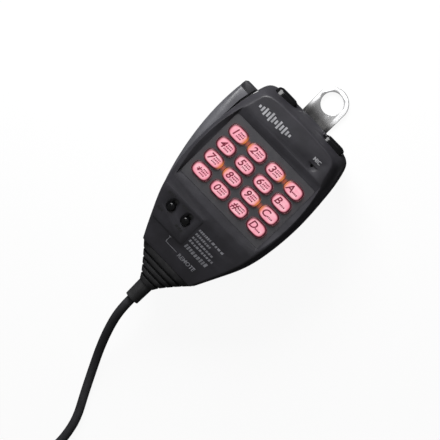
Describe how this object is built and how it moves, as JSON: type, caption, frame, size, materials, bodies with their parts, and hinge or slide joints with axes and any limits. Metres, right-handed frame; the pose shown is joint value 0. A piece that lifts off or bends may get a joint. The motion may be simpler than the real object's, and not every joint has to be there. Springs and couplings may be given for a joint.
{
  "type": "hand microphone",
  "caption": "Tapered two-shell hand microphone with a backlit keypad, side push-to-talk lever, top buttons, slide switches, ribbed cord boot, steel hanger and curly cord.",
  "frame": {"origin": "on the flat back that the microphone lies on, under the centre of the keypad", "axes": "+X across the microphone to the right when the keypad faces the viewer, +Y along it towards the hanging ring, +Z out of the keypad face"},
  "size_m": [0.0766, 0.3856, 0.034],
  "materials": {
    "casing_black": "fine moulded texture, soft sheen",
    "overlay_charcoal": "smooth satin film",
    "lit_key": "translucent key lit pink from behind",
    "gloss_black": "polished black",
    "lever_grey": "satin black with pale sheen",
    "hanger_steel": "bright plated steel sheet",
    "screw_steel": "dark zinc plated",
    "boot_rubber": "satin rubber",
    "cord_jacket": "satin jacket",
    "tie_plastic": "soft coated wire tie",
    "clear_plastic": "clear moulded plastic",
    "contact_gold": "gold flashed",
    "board_green": "solder mask",
    "part_black": "moulded electronic part",
    "white_silicone": "translucent silicone",
    "carbon_pill": "carbon loaded rubber",
    "lamp_red": "red orange light emitting diode",
    "capsule_can": "drawn can",
    "gasket_rubber": "soft sleeve",
    "spring_steel": "spring temper strip",
    "wire_insulation": "coloured wire insulation"
  },
  "bodies": {
    "housing": {"front_shell": "casing_black", "rear_shell": "casing_black", "keypad_overlay": "overlay_charcoal", "keypad_mat": "white_silicone", "contact_pills": "carbon_pill", "circuit_board": "board_green", "switch_contacts": "contact_gold", "board_screws": "screw_steel", "backlight_lamps": "lamp_red", "slide_switches": "part_black", "end_switches": "part_black", "ptt_microswitch": "part_black", "mic_capsule": "capsule_can", "mic_gasket": "gasket_rubber", "encoder_chip": "part_black", "board_connector": "clear_plastic", "inner_wires": "wire_insulation", "case_screws": "screw_steel", "hanger_plate": "hanger_steel", "hanger_screws": "screw_steel", "cord_boot": "boot_rubber", "cord_core": "cord_jacket", "cord_clamp": "part_black", "cord_lead": "cord_jacket", "curly_cord": "cord_jacket", "cord_tail": "cord_jacket", "cord_tie": "tie_plastic", "plug_body": "clear_plastic", "plug_contacts": "contact_gold", "plug_core": "cord_jacket", "ptt_hinge_pin": "spring_steel", "ptt_leaf_spring": "spring_steel"},
    "key_1": {"key_1": "lit_key"},
    "key_2": {"key_2": "lit_key"},
    "key_3": {"key_3": "lit_key"},
    "key_a": {"key_a": "lit_key"},
    "key_4": {"key_4": "lit_key"},
    "key_5": {"key_5": "lit_key"},
    "key_6": {"key_6": "lit_key"},
    "key_b": {"key_b": "lit_key"},
    "key_7": {"key_7": "lit_key"},
    "key_8": {"key_8": "lit_key"},
    "key_9": {"key_9": "lit_key"},
    "key_c": {"key_c": "lit_key"},
    "key_star": {"key_star": "lit_key"},
    "key_0": {"key_0": "lit_key"},
    "key_hash": {"key_hash": "lit_key"},
    "key_d": {"key_d": "lit_key"},
    "up_button": {"up_button": "gloss_black", "up_plunger": "part_black"},
    "down_button": {"down_button": "gloss_black", "down_plunger": "part_black"},
    "lock_knob": {"lock_knob": "gloss_black"},
    "remote_knob": {"remote_knob": "gloss_black"},
    "ptt_lever": {"ptt_lever": "lever_grey", "ptt_plunger": "part_black"},
    "plug_latch": {"plug_latch": "clear_plastic"}
  },
  "joints": [
    {"name": "key_1_press", "type": "slide", "parent": "housing", "child": "key_1", "axis": [0, 0, -1], "range_m": [0, 0.0008], "stiffness_N_per_m": 800, "springref_m": -0.0003, "deforming": ["keypad_mat"]},
    {"name": "key_2_press", "type": "slide", "parent": "housing", "child": "key_2", "axis": [0, 0, -1], "range_m": [0, 0.0008], "stiffness_N_per_m": 800, "springref_m": -0.0003, "deforming": ["keypad_mat"]},
    {"name": "key_3_press", "type": "slide", "parent": "housing", "child": "key_3", "axis": [0, 0, -1], "range_m": [0, 0.0008], "stiffness_N_per_m": 800, "springref_m": -0.0003, "deforming": ["keypad_mat"]},
    {"name": "key_a_press", "type": "slide", "parent": "housing", "child": "key_a", "axis": [0, 0, -1], "range_m": [0, 0.0008], "stiffness_N_per_m": 800, "springref_m": -0.0003, "deforming": ["keypad_mat"]},
    {"name": "key_4_press", "type": "slide", "parent": "housing", "child": "key_4", "axis": [0, 0, -1], "range_m": [0, 0.0008], "stiffness_N_per_m": 800, "springref_m": -0.0003, "deforming": ["keypad_mat"]},
    {"name": "key_5_press", "type": "slide", "parent": "housing", "child": "key_5", "axis": [0, 0, -1], "range_m": [0, 0.0008], "stiffness_N_per_m": 800, "springref_m": -0.0003, "deforming": ["keypad_mat"]},
    {"name": "key_6_press", "type": "slide", "parent": "housing", "child": "key_6", "axis": [0, 0, -1], "range_m": [0, 0.0008], "stiffness_N_per_m": 800, "springref_m": -0.0003, "deforming": ["keypad_mat"]},
    {"name": "key_b_press", "type": "slide", "parent": "housing", "child": "key_b", "axis": [0, 0, -1], "range_m": [0, 0.0008], "stiffness_N_per_m": 800, "springref_m": -0.0003, "deforming": ["keypad_mat"]},
    {"name": "key_7_press", "type": "slide", "parent": "housing", "child": "key_7", "axis": [0, 0, -1], "range_m": [0, 0.0008], "stiffness_N_per_m": 800, "springref_m": -0.0003, "deforming": ["keypad_mat"]},
    {"name": "key_8_press", "type": "slide", "parent": "housing", "child": "key_8", "axis": [0, 0, -1], "range_m": [0, 0.0008], "stiffness_N_per_m": 800, "springref_m": -0.0003, "deforming": ["keypad_mat"]},
    {"name": "key_9_press", "type": "slide", "parent": "housing", "child": "key_9", "axis": [0, 0, -1], "range_m": [0, 0.0008], "stiffness_N_per_m": 800, "springref_m": -0.0003, "deforming": ["keypad_mat"]},
    {"name": "key_c_press", "type": "slide", "parent": "housing", "child": "key_c", "axis": [0, 0, -1], "range_m": [0, 0.0008], "stiffness_N_per_m": 800, "springref_m": -0.0003, "deforming": ["keypad_mat"]},
    {"name": "key_star_press", "type": "slide", "parent": "housing", "child": "key_star", "axis": [0, 0, -1], "range_m": [0, 0.0008], "stiffness_N_per_m": 800, "springref_m": -0.0003, "deforming": ["keypad_mat"]},
    {"name": "key_0_press", "type": "slide", "parent": "housing", "child": "key_0", "axis": [0, 0, -1], "range_m": [0, 0.0008], "stiffness_N_per_m": 800, "springref_m": -0.0003, "deforming": ["keypad_mat"]},
    {"name": "key_hash_press", "type": "slide", "parent": "housing", "child": "key_hash", "axis": [0, 0, -1], "range_m": [0, 0.0008], "stiffness_N_per_m": 800, "springref_m": -0.0003, "deforming": ["keypad_mat"]},
    {"name": "key_d_press", "type": "slide", "parent": "housing", "child": "key_d", "axis": [0, 0, -1], "range_m": [0, 0.0008], "stiffness_N_per_m": 800, "springref_m": -0.0003, "deforming": ["keypad_mat"]},
    {"name": "up_button_press", "type": "slide", "parent": "housing", "child": "up_button", "axis": [0, -1, 0], "range_m": [0, 0.0006], "stiffness_N_per_m": 1500, "springref_m": -0.0003},
    {"name": "down_button_press", "type": "slide", "parent": "housing", "child": "down_button", "axis": [0, -1, 0], "range_m": [0, 0.0006], "stiffness_N_per_m": 1500, "springref_m": -0.0003},
    {"name": "lock_knob_slide", "type": "slide", "parent": "housing", "child": "lock_knob", "axis": [0, 0.9788, 0.2046], "range_m": [0, 0.002]},
    {"name": "remote_knob_slide", "type": "slide", "parent": "housing", "child": "remote_knob", "axis": [0, 0.9788, 0.2046], "range_m": [0, 0.002]},
    {"name": "ptt_press", "type": "hinge", "parent": "housing", "child": "ptt_lever", "pos_m": [-0.0256, -0.023, 0.0175], "axis": [0, 0, -1], "range_deg": [0, 3], "stiffness_Nm_per_rad": 1, "springref_deg": -2.86, "deforming": ["ptt_leaf_spring"]},
    {"name": "plug_latch_flex", "type": "hinge", "parent": "housing", "child": "plug_latch", "pos_m": [0.0085, -0.1894, 0.0078], "axis": [1, 0, 0], "range_deg": [0, 8], "stiffness_Nm_per_rad": 0.2, "springref_deg": -1.72}
  ]
}
